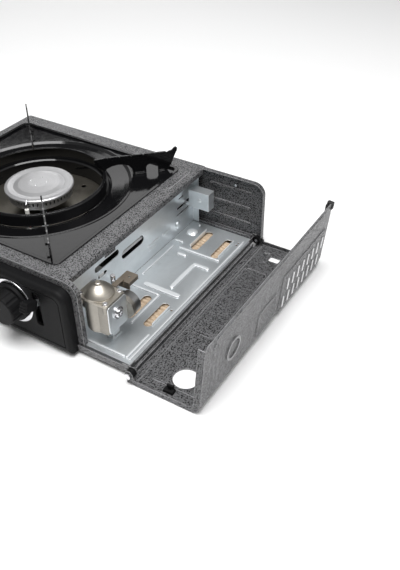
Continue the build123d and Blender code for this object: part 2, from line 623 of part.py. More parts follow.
def arm_outline():
    """Side view of one arm: distance from the burner's axis against height."""
    pts = [(66.0, 112.2), (66.0, 106.0), (70.0, 100.5), (75.2, 96.55), (78.5, 96.55), (79.5, 99.0),
           (86.0, 101.8), (93.5, 103.0), (101.0, 102.2), (106.0, 100.0), (109.0, 95.5), (110.0, 89.2),
           (126.0, 89.2), (126.0, 96.0), (127.5, 98.5), (130.0, 99.5), (136.0, 99.5), (138.5, 98.5),
           (140.0, 96.0), (140.0, 89.2), (151.6, 89.2), (153.6, 93.0), (157.2, 99.0),
           (160.2, 107.0), (163.5, 114.0),
           (164.0, 116.5), (162.4, 118.0), (160.2, 117.6), (157.6, 114.6)]
    # shallow teeth along the top, from the outer end to the inner one
    x = 154.0
    while x > 72.0:
        pts.append((x, ARM_TOP))
        pts.append((x - 2.5, ARM_TOP - 1.4))
        pts.append((x - 5.0, ARM_TOP))
        x -= 14.0
    return pts


def make_arm(turn):
    pts = arm_outline()
    pts.append(pts[0])
    side = Plane.XZ * make_face(Polyline(*pts).edges())
    arm = extrude(side, amount=0.9, both=True)
    # turned-out foot flange that stands on the tray
    arm = arm + box(141, 147.5, -4.0, 0.9, 89.2, 90.4) + box(112, 124, -4.0, 0.9, 89.2, 90.4)
    return Pos(BURN_X, BURN_Y, 0) * Rot(0, 0, turn) * arm


# ---------------------------------------------------------------- regulator
REG_X = 127.0
REG_Y = -102.0
REG_X0, REG_X1 = 107.5, 146.5
REG_Y0, REG_Y1 = -117.5, -87.0


def make_regulator_body():
    body = post(REG_X - 2.0, REG_Y, 28.0, 68.0, 14.8)
    body = fillet(body.edges().group_by(Axis.Z)[0], 3.0)
    side = box(REG_X + 2, REG_X1 - 0.6, REG_Y0 + 3.0, REG_Y1, 30.0, 68.0)
    side = chamfer(side.edges().filter_by(Axis.Y).group_by(Axis.Z)[0], 4.0)
    body = body + side
    body = body + rod_y(CART_X, CART_Z, REG_Y1 - 0.1, -82.0, 13.0)
    body = body + rod_x(-102, 50, REG_X0 - 0.4, 115.0, 6.0)
    body = body - rod_x(-102, 50, 106.0, 112.0, 3.05)
    body = body - rod_y(CART_X, CART_Z, -90.0, -80.0, 3.4)
    # bosses under the cover's screws
    for x, y in reg_screw_places():
        body = body + post(x, y, 60.0, 68.0, 3.4)
    for x, y in reg_screw_places():
        body = body - post(x, y, 61.0, 69.0, 1.45)
    return body


def reg_screw_places():
    return ((111.5, -91.0), (142.5, -91.0), (111.5, -113.5), (142.5, -113.5))


def make_regulator_cover():
    """Square flange with the diaphragm's cone and its adjuster seat."""
    plate = slab(REG_X, (REG_Y0 + REG_Y1) / 2, 39, 30.5, 4.5, 68.05, 70.3)
    plate = fillet(plate.edges().group_by(Axis.Z)[-1], 0.6)
    sides = Polyline((4.2, 81.4), (3.4, 82.9), (2.6, 83.4), (0, 83.4), (0, 69.2), (15.4, 69.2),
                     (15.4, 71.6), (14.8, 72.4))
    flank = ThreePointArc((14.8, 72.4), (10.1, 77.7), (4.2, 81.4))
    dome = revolve(Plane.XZ * make_face(sides.edges() + flank.edges()), Axis.Z, 360)
    cover = plate + Pos(REG_X - 1.0, REG_Y, 0) * dome
    cover = cover - post(REG_X - 1.0, REG_Y, 80.0, 90.0, 2.0)
    for x, y in reg_screw_places():
        cover = cover - post(x, y, 60, 75, 1.45)
    return cover


def make_adjuster():
    s = post(REG_X - 1.0, REG_Y, 80.0, 83.0, 1.95)
    return s - box(REG_X - 3.0, REG_X + 1.0, REG_Y - 0.3, REG_Y + 0.3, 82.2, 84)


def make_regulator_screws():
    return [screw_z(x, y, 70.35, 61.5) for x, y in reg_screw_places()]


def make_side_plate():
    """Cover plate on the side of the regulator that faces the lid's round hole."""
    p = box(REG_X1 - 0.55, REG_X1 + 0.6, REG_Y0 + 1.5, REG_Y1 - 0.2, 34.0, 67.6)
    p = fillet(p.edges().filter_by(Axis.X), 3.0)
    return p - rod_x(-102, 54, REG_X1 - 2, REG_X1 + 3, 7.0)


def make_inlet_plug():
    x = REG_X1 - 0.5
    plug = rod_x(-102, 54, x, x + 2.6, 6.9)
    plug = plug + rod_x(-102, 54, x + 2.5, x + 5.0, 4.6)
    plug = fillet(plug.edges().filter_by(GeomType.CIRCLE).sort_by(Axis.X)[-1], 1.2)
    return plug - rod_x(-102, 54, x + 3.8, x + 7, 1.8)


def make_connector_ring():
    ring = rod_y(CART_X, CART_Z, -81.95, -73.0, 12.6) - rod_y(CART_X, CART_Z, -84, -70, 10.2)
    ring = ring + (rod_y(CART_X, CART_Z, -81.95, -80.4, 12.6) - rod_y(CART_X, CART_Z, -83, -79, 7.6))
    mouth = ring.edges().filter_by(GeomType.CIRCLE).filter_by(lambda e: abs(e.center().Y + 73.0) < 0.01)
    ring = chamfer(mouth, 0.8)
    # notch that lets the guide key through
    return ring - box(CART_X - 12.5, CART_X - 4.5, -79.0, -70.0, 56.0, 64.0)


def make_connector_seal():
    return rod_y(CART_X, CART_Z, -80.3, -77.6, 7.4) - rod_y(CART_X, CART_Z, -85, -75, 3.2)


def make_inlet_pin():
    pin = rod_y(CART_X, CART_Z, -89.9, -76.0, 2.2) + rod_y(CART_X, CART_Z, -89.9, -82.5, 3.35)
    return pin - rod_y(CART_X, CART_Z, -84.0, -75.0, 0.9)


def make_guide_key():
    """Small plate over the collar that the cartridge's notch has to find."""
    x0, x1 = CART_X - 16.0, CART_X - 1.5
    key = box(x0, x1, -72.5, -56.0, 65.6, 66.9)
    key = fillet(key.edges().filter_by(Axis.Z), 1.5)
    key = key + box(x0, x1, -72.5, -71.3, 58.5, 66.9) + box(x0, x0 + 1.2, -72.5, -57.0, 62.6, 66.9)
    key = key + box(x1 - 1.2, x1, -72.5, -57.0, 62.6, 66.9)
    arm = box(x0 + 2, x0 + 8, -85.5, -72.0, 68.1, 69.3) + box(x0 + 2, x0 + 8, -73.2, -72.0, 60, 69.3)
    key = key + arm
    return key - post(CART_X - 8.0, -63.0, 64, 68, 1.2)


def make_key_post():
    x = CART_X - 18.8
    p = post(x, -76.0, 58.0, 72.0, 1.3) + post(x, -76.0, 70.5, 73.0, 2.6)
    return p + rod_x(-76.0, 60.0, x, CART_X - 13.5, 1.2)


def make_key_spring():
    """Coil spring that holds the key down."""
    x = CART_X - 18.8
    with BuildPart() as part:
        with BuildLine():
            Helix(pitch=1.5, height=7.5, radius=2.3, center=(x, -76.0, 62.4))
        with BuildSketch(Plane(origin=(x + 2.3, -76.0, 62.4), z_dir=(0, 1, 0.104))):
            Circle(0.35)
        sweep()
    return part.part


def make_regulator_foot():
    foot = box(128.0, 137.5, -116.0, -88.0, FLOOR_TOP + 0.05, FLOOR_TOP + 1.5)
    foot = foot + box(128.0, 137.5, -101.0, -99.5, FLOOR_TOP + 0.05, 27.9)
    foot = foot + box(128.0, 137.5, -112.0, -90.5, 26.4, 27.95)
    foot = foot + box(136.0, 137.5, -99.6, -90.5, 16.0, 27.9)
    return foot - box(120, 140, -116.1, -102, 10, 13.55)


# ---------------------------------------------------------------- cartridge lock
ROD_X = 87.3
ROD_Z = 48.5
PUSH_Y = 110.0


def make_pusher():
    """Folded bracket that presses on the cartridge's base, reaching in from the push rod."""
    x0, x1 = 96.0, 124.0
    z0, z1 = 45.0, 68.0
    p = box(x0, x1, PUSH_Y, PUSH_Y + 1.2, z0, z1)
    p = p + box(x0, x1, PUSH_Y, PUSH_Y + 13, z1 - 1.2, z1)
    p = p + box(x1 - 1.2, x1, PUSH_Y, PUSH_Y + 13, z0, z1)
    p = p + box(x0, x1, PUSH_Y, PUSH_Y + 8, z0, z0 + 1.2)
    outer = p.edges().filter_by(Axis.Z).filter_by(lambda e: e.center().X > x1 - 0.01)
    p = fillet(outer, 0.9)
    p = p + (Pos(111, PUSH_Y + 2.2, 57) * Sphere(3.4) & box(105, 117, PUSH_Y - 3, PUSH_Y + 0.1, 51, 63))
    # tongue through the partition to the rod
    p = p + box(88.8, x0 + 0.5, PUSH_Y, PUSH_Y + 1.2, 46.6, 50.4)
    p = p + box(84.4, 89.2, PUSH_Y, PUSH_Y + 1.2, 44.0, 53.0)
    p = p - rod_y(ROD_X, ROD_Z, PUSH_Y - 1, PUSH_Y + 3, 1.2)
    return p


def make_push_rod():
    rod = rod_y(ROD_X, ROD_Z, -72.0, PUSH_Y - 0.05, 2.1)
    rod = rod + rod_y(ROD_X, ROD_Z, PUSH_Y - 1, PUSH_Y + 4.0, 1.15)
    # eye plate round the crank's pin
    eye = box(85.4, 87.2, -112.5, -70.0, 55.0, 73.0) - box(85.0, 88.0, -98.0, -69.0, 59.0, 74.0)
    eye = eye + box(85.4, 87.2, -78.0, -70.0, ROD_Z - 2.0, 59.5)
    eye = eye - slot_x(LEVER_Y + 4.78 - 1.85, LEVER_Y + 4.78 + 1.85, 60.0, 70.0, 85.0, 88.0)
    return rod + eye


def make_rod_guides():
    """Two saddles on the partition that carry the push rod."""
    out = []
    for y in (-55.0, 60.0):
        g = box(82.6, PART_X - 0.02, y - 4, y + 4, ROD_Z - 5, ROD_Z + 5)
        g = g - rod_y(ROD_X, ROD_Z, y - 6, y + 6, 2.17)
        out.append(g)
    return out


def crank_pin():
    a = math.radians(20.0)
    return (LEVER_Y + 14.0 * math.sin(a), LEVER_Z + 14.0 * math.cos(a))


def make_lever_arm():
    """Steel lever through the front panel; at rest the grip stands high, unlocked."""
    r = Pos(0, LEVER_Y, LEVER_Z) * Rot(-20, 0, 0)
    arm = box(LEVER_X - 1.5, LEVER_X + 1.5, -36, 0, -3.2, 3.2)
    arm = arm + rod_x(0, 0, LEVER_X - 1.5, LEVER_X + 1.5, 6.0)
    return r * (arm - rod_x(0, 0, LEVER_X - 4, LEVER_X + 4, 3.0))


def make_lever_grip():
    r = Pos(0, LEVER_Y, LEVER_Z) * Rot(-20, 0, 0)
    g = box(LEVER_X - 4.6, LEVER_X + 4.6, -46, -29.5, -5.5, 5.5)
    g = fillet(g.edges(), 1.6)
    for z in (-3, 0, 3):
        g = g - box(LEVER_X - 6, LEVER_X + 6, -47, -45.4, z - 0.5, z + 0.5)
    return r * (g - box(LEVER_X - 1.55, LEVER_X + 1.55, -36.1, -20, -3.25, 3.25))


def make_lever_shaft():
    return rod_x(LEVER_Y, LEVER_Z, 66.5, 84.9, 2.95)


def make_lever_crank():
    r = Pos(0, LEVER_Y, LEVER_Z) * Rot(-20, 0, 0)
    c = box(82.4, 84.6, -3.0, 3.0, 0, 14)
    c = c + rod_x(0, 0, 82.4, 84.6, 5.0) + rod_x(0, 14, 82.4, 84.6, 3.0)
    c = c + rod_x(0, 14, 84.5, 88.2, 1.5)
    return r * (c - rod_x(0, 0, 80, 86, 3.0))


def make_lever_bracket():
    """Two cheeks from the front wall that hold the lever's shaft."""
    b = None
    for x0, x1 in ((66.9, 69.2), (78.4, 80.6)):
        cheek = box(x0, x1, -121.9, LEVER_Y + 6, 42, 58)
        cheek = cheek - rod_x(LEVER_Y, LEVER_Z, x0 - 1, x1 + 1, 3.02)
        b = cheek if b is None else b + cheek
    plate = box(69.7, 84.6, SHELL_FRONT + SHEET + 0.05, -122.7, 22, 78)
    plate = plate - box(LEVER_X - 3.6, LEVER_X + 3.6, -126, -120, 28, 72)
    link = box(69.7, 80.6, -122.8, -121.5, 73, 78) + box(69.7, 80.6, -122.8, -121.5, 22, 27)
    back = box(66.9, 80.6, -122.75, -121.8, 42, 58)
    back = back - box(LEVER_X - 3.6, LEVER_X + 3.6, -126, -120, 28, 72)
    return b + back + plate + link


# ---------------------------------------------------------------- lid
def vent_places():
    out = []
    for i in range(8):
        out.append((34.0 + 12.5 * i, 13.0, 29.0))
        out.append((40.0 + 12.5 * i, 34.0, 50.0))
    return out


def lean(shape):
    """Tips a piece drawn upright on the standing panel to the panel's own slope."""
    return shape.rotate(Axis((LID_REACH, 0, LID_UNDER), (0, 1, 0)), LID_LEAN)


def leaning_block(x0, x1, y0, y1, z0, z1):
    """Block whose face at x1 slopes as the standing panel does."""
    slope = math.tan(math.radians(LID_LEAN))
    a = x1 + (z0 - LID_UNDER) * slope
    b = x1 + (z1 - LID_UNDER) * slope
    outline = Polyline((x0, z0), (a, z0), (b, z1), (x0, z1), (x0, z0))
    face = Plane(origin=(0, y1, 0), x_dir=(1, 0, 0), z_dir=(0, -1, 0)) * make_face(outline.edges())
    return extrude(face, amount=y1 - y0)


def make_lid():
    y0, y1 = LID_FRONT, LID_BACK
    x1, z0 = LID_REACH, LID_UNDER
    high = z0 + LID_HIGH * math.cos(math.radians(LID_LEAN))
    outer = leaning_block(177.0, x1, y0, y1, z0, high)
    low = outer.edges().filter_by(Axis.Y).group_by(Axis.Z)[0].sort_by(Axis.X)[-1]
    outer = fillet(low, LID_CORNER)
    top = outer.edges().filter_by(Axis.X).group_by(Axis.Z)[-1].sort_by(Axis.Y)
    outer = fillet(top[-1], 9.0)
    top = outer.edges().filter_by(Axis.X).group_by(Axis.Z)[-1].sort_by(Axis.Y)
    outer = fillet(top[0], 7.0)
    inner = leaning_block(170.0, x1 - SHEET, y0 + SHEET, y1 - SHEET, z0 + SHEET, high + 9)
    low = inner.edges().filter_by(Axis.Y).group_by(Axis.Z)[0].sort_by(Axis.X)[-1]
    inner = fillet(low, LID_CORNER - SHEET)
    lid = outer - inner
    # the end flanges are narrow bands with a rounded inner corner
    trim = leaning_block(160.0, x1 - 7.5, y0 - 2, y1 + 2, z0 + 5.6, high + 9)
    low = trim.edges().filter_by(Axis.Y).group_by(Axis.Z)[0].sort_by(Axis.X)[-1]
    trim = fillet(low, 8.0)
    lid = lid - trim
    # ears for the hinge pins
    for ya, yb in ((y0, y0 + SHEET), (y1 - SHEET, y1)):
        ear = box(177.0, 186.0, ya, yb, z0, 9.0) + rod_y(HINGE_X, HINGE_Z, ya, yb, 5.0)
        lid = lid + ear
        lid = lid - rod_y(HINGE_X, HINGE_Z, ya - 1, yb + 1, 2.08)
    z1 = z0 + SHEET
    # turned-up lip along the hinge side, and the pressed step beside it
    lid = lid + box(177.0, 177.8, -122.0, 127.0, z0, z0 + 6.5)
    lid = lid + slot_z(184.5, 3.0, 262, 3.0, z1 - 0.1, z1 + 0.9, 90)
    # pressed panel outline and cross bead
    ring = slab(204.0, 25.0, 34, 129, 9, z1 - 0.1, z1 + 1.3)
    ring = fillet(ring.edges().group_by(Axis.Z)[-1], 1.1)
    lid = lid + (ring - slab(204.0, 25.0, 28.4, 123.4, 6, z1 - 1, z1 + 2))
    lid = lid + slot_z(221.0, -117.0, 50, 2.4, z1 - 0.1, z1 + 0.6)
    # round access hole, sight window at the back and the latch's slot
    lid = lid - post(224.7, -101.0, -1, 5, 13.5)
    lid = lid - slab(211.5, 117.5, 13, 9, 1.5, -1, 5)
    lid = lid - box(216.5, 223.5, -126.0, -121.5, -1, 5)
    for x, y in ((196.0, 126.0), (200.0, 126.0), (203.0, 108.0)):
        lid = lid + post(x, y, z1 - 0.3, z1 + 0.9, 1.3)
    # raised field and staggered louvred air slots on the standing panel
    field = fillet(box(x1 - 0.1, x1 + 0.9, 26.0, 134.0, 8.0, 58.0).edges().filter_by(Axis.X), 4.0)
    lid = lid + lean(field)
    for y, za, zb in vent_places():
        hood = slot_x(y - 3.2, y - 0.3, za, zb, x1 + 0.5, x1 + 2.1)
        lid = lid + lean(fillet(hood.edges().group_by(Axis.X)[-1], 1.1))
        lid = lid - lean(slot_x(y - 0.2, y + 2.2, za, zb, x1 - 4, x1 + 4))
    # blank raised badge field, round pressing and two stiffening ribs near the front
    badge = fillet(box(x1 - 0.1, x1 + 0.8, -26.0, 16.0, 12.0, 46.0).edges().filter_by(Axis.X), 3.0)
    hollow = fillet(box(x1 + 0.3, x1 + 1.3, -24.0, 14.0, 14.0, 44.0).edges().filter_by(Axis.X), 2.0)
    lid = lid + lean(badge - hollow)
    pressing = rod_x(-78.0, 44.0, x1 - 0.1, x1 + 1.3, 13.0) - rod_x(-78.0, 44.0, x1 + 0.1, x1 + 2, 10.6)
    lid = lid + lean(pressing)
    for y in (-116.0, -108.0):
        lid = lid + lean(slot_x(y - 1.2, y + 1.2, 28, 72, x1 - 0.1, x1 + 0.3))
    # hem rolled over the outer face, and the rivet below its front end
    hem = slot_x(-118.0, 122.0, 83.2, 87.8, x1 - 0.1, x1 + 1.1)
    lid = lid + lean(fillet(hem.edges().group_by(Axis.X)[-1], 0.9))
    return lid + lean(rod_x(-116.0, 79.0, x1 - 0.1, x1 + 1.0, 2.2))


def make_lid_clip():
    """Snap latch near the front of the lid."""
    z1 = LID_UNDER + SHEET
    c = box(214.5, 225.5, -127.0, -120.5, z1 + 0.05, z1 + 3.4)
    c = fillet(c.edges().group_by(Axis.Z)[-1], 1.0)
    c = c + box(217.0, 223.0, -125.5, -122.0, z1 - 0.5, z1 + 0.2)
    c = c + box(216.0, 224.0, -122.6, -120.5, z1 + 3.0, z1 + 7.0)
    return c - box(218.0, 222.0, -124.8, -122.7, z1 + 1.6, z1 + 6)


def make_lid_bumper(lid):
    """Rubber buffer pushed over the standing panel's back corner."""
    b = box(LID_REACH - 6.0, LID_REACH + 1.6, LID_BACK - 3.6, LID_BACK + 1.6, LID_HIGH - 9.0, LID_HIGH - 0.2)
    b = fillet(b.edges(), 1.2)
    return lean(b) - lid


def make_hinge_pins():
    a = rod_y(HINGE_X, HINGE_Z, LID_FRONT - 1.2, BASE_FRONT + 4.0, 1.98)
    a = a + rod_y(HINGE_X, HINGE_Z, LID_FRONT - 2.4, LID_FRONT - 0.5, 3.4)
    b = rod_y(HINGE_X, HINGE_Z, BASE_BACK - 6.0, LID_BACK + 1.2, 1.98)
    b = b + rod_y(HINGE_X, HINGE_Z, LID_BACK + 0.5, LID_BACK + 2.4, 3.4)
    return [a, b]


def make_hinge_bush(y0, y1):
    bush = rod_y(HINGE_X, HINGE_Z, y0, y1, 5.0) - rod_y(HINGE_X, HINGE_Z, y0 - 1, y1 + 1, 2.0)
    return bush


# ---------------------------------------------------------------- write every node
def all_nodes():
    lid = make_lid()
    nodes = {
        "base_pan": make_base_pan(),
        "foot_screws": make_foot_screws(),
        "body_shell": make_body_shell(),
        "front_wall": make_front_wall(),
        "rear_wall": make_rear_wall(),
        "body_screws": make_body_screws(),
        "partition_wall": make_partition(),
        "compartment_floor": make_floor(),
        "insulation_board": make_insulation(),
        "front_fascia": make_fascia(),
        "control_knob": make_knob(),
        "knob_pointer": make_knob_pointer(),
        "knob_bezel": make_knob_bezel(),
        "knob_spindle": make_spindle(),
        "valve_body": make_valve(),
        "valve_bracket": make_valve_bracket(),
        "piezo_igniter": make_igniter(),
        "ignition_wire": make_ignition_wire(),
        "electrode": make_electrode(),
        "electrode_tip": make_electrode_tip(),
        "electrode_clip": make_electrode_clip(),
        "gas_pipe": make_gas_pipe(),
        "injector_nozzle": make_injector(),
        "mixing_tube": make_mixing_tube(),
        "burner_head": make_burner_head(),
        "burner_cap": make_burner_cap(),
        "burner_bracket": make_burner_bracket(),
        "heat_shield": make_heat_shield(),
        "drip_tray": make_drip_tray(),
        "support_ring": make_support_ring(),
        "regulator_body": make_regulator_body(),
        "regulator_cover": make_regulator_cover(),
        "regulator_adjuster": make_adjuster(),
        "regulator_screws": make_regulator_screws(),
        "regulator_side_plate": make_side_plate(),
        "inlet_plug": make_inlet_plug(),
        "connector_ring": make_connector_ring(),
        "connector_seal": make_connector_seal(),
        "inlet_pin": make_inlet_pin(),
        "guide_key": make_guide_key(),
        "key_post": make_key_post(),
        "key_spring": make_key_spring(),
        "regulator_foot": make_regulator_foot(),
        "pusher_bracket": make_pusher(),
        "push_rod": make_push_rod(),
        "rod_guides": make_rod_guides(),
        "lever_arm": make_lever_arm(),
        "lever_grip": make_lever_grip(),
        "lever_shaft": make_lever_shaft(),
        "lever_crank": make_lever_crank(),
        "lever_bracket": make_lever_bracket(),
        "lid_shell": lid,
        "lid_clip": make_lid_clip(),
        "lid_bumper": make_lid_bumper(lid),
        "hinge_pins": make_hinge_pins(),
    }
    nodes["rubber_feet"] = [make_foot(x, y) for x, y in foot_places()]
    nodes["support_arms"] = [make_arm(turn) for turn in (ARM_TURN, 180 - ARM_TURN, 180 + ARM_TURN, -ARM_TURN)]
    nodes["hinge_bushes"] = [make_hinge_bush(BASE_FRONT - 2.6, BASE_FRONT - 0.05),
                             make_hinge_bush(BASE_BACK + 0.05, BASE_BACK + 2.6),
                             make_hinge_bush(BASE_BACK - 5.4, BASE_BACK - SHEET - 0.05)]
    return nodes


def to_frame(shape):
    return shape.moved(Location((-ORIGIN_X, -ORIGIN_Y, 0)))


os.makedirs("parts", exist_ok=True)
for node_name, shape in all_nodes().items():
    if isinstance(shape, (list, tuple)):
        shape = Compound(children=[to_frame(piece) for piece in shape])
    else:
        shape = to_frame(shape)
    export_step(shape, "parts/" + node_name + ".step")
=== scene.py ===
import bpy
import json
import math
from mathutils import Matrix, Vector


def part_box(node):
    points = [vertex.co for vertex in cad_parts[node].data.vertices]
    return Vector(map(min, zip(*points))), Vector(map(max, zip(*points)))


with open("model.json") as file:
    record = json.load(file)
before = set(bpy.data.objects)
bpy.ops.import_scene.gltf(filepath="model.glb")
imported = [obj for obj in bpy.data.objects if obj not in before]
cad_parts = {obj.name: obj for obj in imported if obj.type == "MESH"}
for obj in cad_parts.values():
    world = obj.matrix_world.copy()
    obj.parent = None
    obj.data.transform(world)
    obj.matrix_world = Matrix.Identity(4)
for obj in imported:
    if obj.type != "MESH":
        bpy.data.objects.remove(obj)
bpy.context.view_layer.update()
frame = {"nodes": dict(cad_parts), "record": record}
nodes = frame["nodes"]

# ------------------------------------------------------------------ measures, in metres and degrees
LID_LEAN = 5.0         # of the lid's standing panel, outwards from upright
LID_SETBACK = 0.00863  # from the lid's outermost X in to where the panel's outer face meets z = 0
SHEET_RISE = 0.0068    # from the turned-down edge of the bay's floor up to its sheet

CAMERA_AT = (0.443833, -0.48335, 0.49653)
CAMERA_TURN = 31.9     # azimuth, from straight in front towards +X
CAMERA_RISE = 38.83    # elevation
CAMERA_ROLL = -0.68
CAMERA_LENS = 43.38    # focal length in mm, for a sensor SENSOR_WIDTH mm wide
SENSOR_WIDTH = 36.0

FLOOR_HALF = 6.0
FLOOR_TOP = -0.0005    # just under the part's feet

# ------------------------------------------------------------------ colours, linear
GROUND = (0.002, 0.002, 0.0025)      # lacquer between its flecks
FLECK = (0.20, 0.20, 0.205)
SHADED_GROUND = (0.003, 0.003, 0.0035)
SHADED_FLECK = (0.15, 0.15, 0.155)
# painted shade: a darker copy of the same lacquer, for the lid
SHADED_LID_GROUND = (0.0015, 0.0015, 0.002)
SHADED_LID_FLECK = (0.165, 0.165, 0.17)
# painted highlight: pale lacquer blended onto the hammertone's sharp edges
EDGE_HIGHLIGHT_LACQUER = (0.62, 0.62, 0.63)
# painted highlight for the parts standing proudest of the lid's panel
PROUD_HIGHLIGHT_LACQUER = (0.90, 0.90, 0.91)
ZINC = (0.88, 0.925, 0.95)
# painted highlight for the galvanised sheet's edges and crests
ZINC_HIGHLIGHT = (0.97, 0.98, 1.0)


def scaled(colour, by):
    return tuple(by * c for c in colour)


def mixed(a, b, share):
    return tuple((1 - share) * p + share * q for p, q in zip(a, b))


# ------------------------------------------------------------------ material helper
class Shader:
    """A procedural material in the coordinates of the piece it is on, in metres."""

    def __init__(self, name):
        self.mat = bpy.data.materials.new(name)
        self.mat.use_nodes = True
        self.tree = self.mat.node_tree
        self.tree.nodes.clear()
        out = self.tree.nodes.new("ShaderNodeOutputMaterial")
        self.bsdf = self.tree.nodes.new("ShaderNodeBsdfPrincipled")
        self.tree.links.new(self.bsdf.outputs[0], out.inputs[0])
        self.where = self.tree.nodes.new("ShaderNodeTexCoord").outputs["Object"]

    def put(self, socket, value):
        """Sets a socket to a number or colour, or links it to another node's output."""
        if hasattr(value, "is_output"):
            self.tree.links.new(value, socket)
        else:
            socket.default_value = value

    def set(self, **values):
        for key, value in values.items():
            self.put(self.bsdf.inputs[key.replace("_", " ")], value)

    def specular(self, level):
        self.bsdf.inputs["Specular IOR Level"].default_value = level

    def vector(self, how, a, b):
        n = self.tree.nodes.new("ShaderNodeVectorMath")
        n.operation = how
        self.put(n.inputs[0], a)
        self.put(n.inputs[1], b)
        return n.outputs["Value" if how == "DOT_PRODUCT" else "Vector"]

    def number(self, how, a, b):
        n = self.tree.nodes.new("ShaderNodeMath")
        n.operation = how
        self.put(n.inputs[0], a)
        self.put(n.inputs[1], b)
        return n.outputs[0]

    def add(self, *values):
        total = values[0]
        for value in values[1:]:
            total = self.number("ADD", total, value)
        return total

    def times(self, a, b):
        return self.number("MULTIPLY", a, b)

    def noise(self, scale, detail=4.0, rough=0.55, vector=None):
        n = self.tree.nodes.new("ShaderNodeTexNoise")
        self.put(n.inputs["Vector"], vector or self.where)
        n.inputs["Scale"].default_value = scale
        n.inputs["Detail"].default_value = detail
        n.inputs["Roughness"].default_value = rough
        return n.outputs["Fac"]

    def cells(self, scale, output="Distance"):
        n = self.tree.nodes.new("ShaderNodeTexVoronoi")
        self.put(n.inputs["Vector"], self.where)
        n.inputs["Scale"].default_value = scale
        return n.outputs[output]

    def cell_tones(self, scale):
        """One random grey for each whole cell."""
        n = self.tree.nodes.new("ShaderNodeRGBToBW")
        self.put(n.inputs[0], self.cells(scale, "Color"))
        return n.outputs[0]

    def span(self, value, a, b, c, d, smooth=False):
        """Maps a..b to c..d, and holds the end values outside it."""
        n = self.tree.nodes.new("ShaderNodeMapRange")
        if smooth:
            n.interpolation_type = "SMOOTHSTEP"
        self.put(n.inputs["Value"], value)
        for key, v in zip(("From Min", "From Max", "To Min", "To Max"), (a, b, c, d)):
            n.inputs[key].default_value = v
        return n.outputs[0]

    def colours(self, value, *stops):
        n = self.tree.nodes.new("ShaderNodeValToRGB")
        self.put(n.inputs[0], value)
        ramp = n.color_ramp
        while len(ramp.elements) < len(stops):
            ramp.elements.new(0.5)
        for e, (at, colour) in zip(ramp.elements, stops):
            e.position = at
            e.color = (*colour, 1.0)
        return n.outputs[0]

    def blend(self, factor, a, b):
        n = self.tree.nodes.new("ShaderNodeMix")
        n.data_type = "RGBA"
        self.put(n.inputs[0], factor)
        # inputs 6 and 7 and output 2 are the mix node's colours
        for socket, colour in ((n.inputs[6], a), (n.inputs[7], b)):
            self.put(socket, colour if hasattr(colour, "is_output") else (*colour, 1.0))
        return n.outputs[2]

    def soft_edge(self, radius):
        n = self.tree.nodes.new("ShaderNodeBevel")
        n.samples = 4
        n.inputs["Radius"].default_value = radius
        return n.outputs[0]

    def edge_mask(self, radius, low=0.03, high=0.35):
        """1 along the sharp edges of a piece, 0 away from them."""
        geo = self.tree.nodes.new("ShaderNodeNewGeometry")
        agreement = self.vector("DOT_PRODUCT", self.soft_edge(radius), geo.outputs["Normal"])
        return self.span(agreement, 1.0 - low, 1.0 - high, 0.0, 1.0)

    def bump(self, height, strength, distance, normal=None):
        n = self.tree.nodes.new("ShaderNodeBump")
        self.put(n.inputs["Height"], height)
        n.inputs["Strength"].default_value = strength
        n.inputs["Distance"].default_value = distance
        if normal is not None:
            self.put(n.inputs["Normal"], normal)
        return n.outputs[0]


# ------------------------------------------------------------------ materials
def hammertone(name, dark, light, panel_foot=None):
    """Hammertone lacquer: fine pale flecks on a near-black ground, with a pebbled surface.

    With panel_foot, the X of the lid panel's outer face at z = 0, whatever stands proudest of
    that leaning face, such as the louvres' hoods, is brighter: a painted highlight.
    """
    s = Shader(name)
    speck = s.span(s.cells(560), 0.15, 0.62, 0.0, 0.55)
    fine = s.span(s.noise(1100, 2.0, 0.6), 0.35, 0.65, 0.0, 0.55)
    clump = s.span(s.noise(170, 3.0, 0.6), 0.3, 0.7, -0.08, 0.08)
    level = s.add(speck, fine, clump)
    base = s.colours(level, (0.47, dark), (0.60, mixed(dark, light, 0.28)), (0.72, light))
    # painted highlight: the sharp edges are blended towards a pale lacquer
    base = s.blend(s.times(s.edge_mask(0.0011, 0.02, 0.20), 0.62), base, EDGE_HIGHLIGHT_LACQUER)
    if panel_foot is not None:
        lean = math.radians(LID_LEAN)
        outwards = s.vector("DOT_PRODUCT", s.where, (math.cos(lean), 0.0, -math.sin(lean)))
        proud = s.number("SUBTRACT", outwards, panel_foot * math.cos(lean))
        # painted highlight: the louvres' hoods and other proud parts are blended towards a pale
        # lacquer
        base = s.blend(s.span(proud, 0.00105, 0.0019, 0.0, 0.85), base, PROUD_HIGHLIGHT_LACQUER)
    s.specular(0.3)
    s.set(Base_Color=base, Metallic=0.25, Roughness=s.span(level, 0.2, 0.9, 0.46, 0.27),
          Normal=s.bump(level, 0.55, 0.00020, s.soft_edge(0.0007)))
    return s.mat


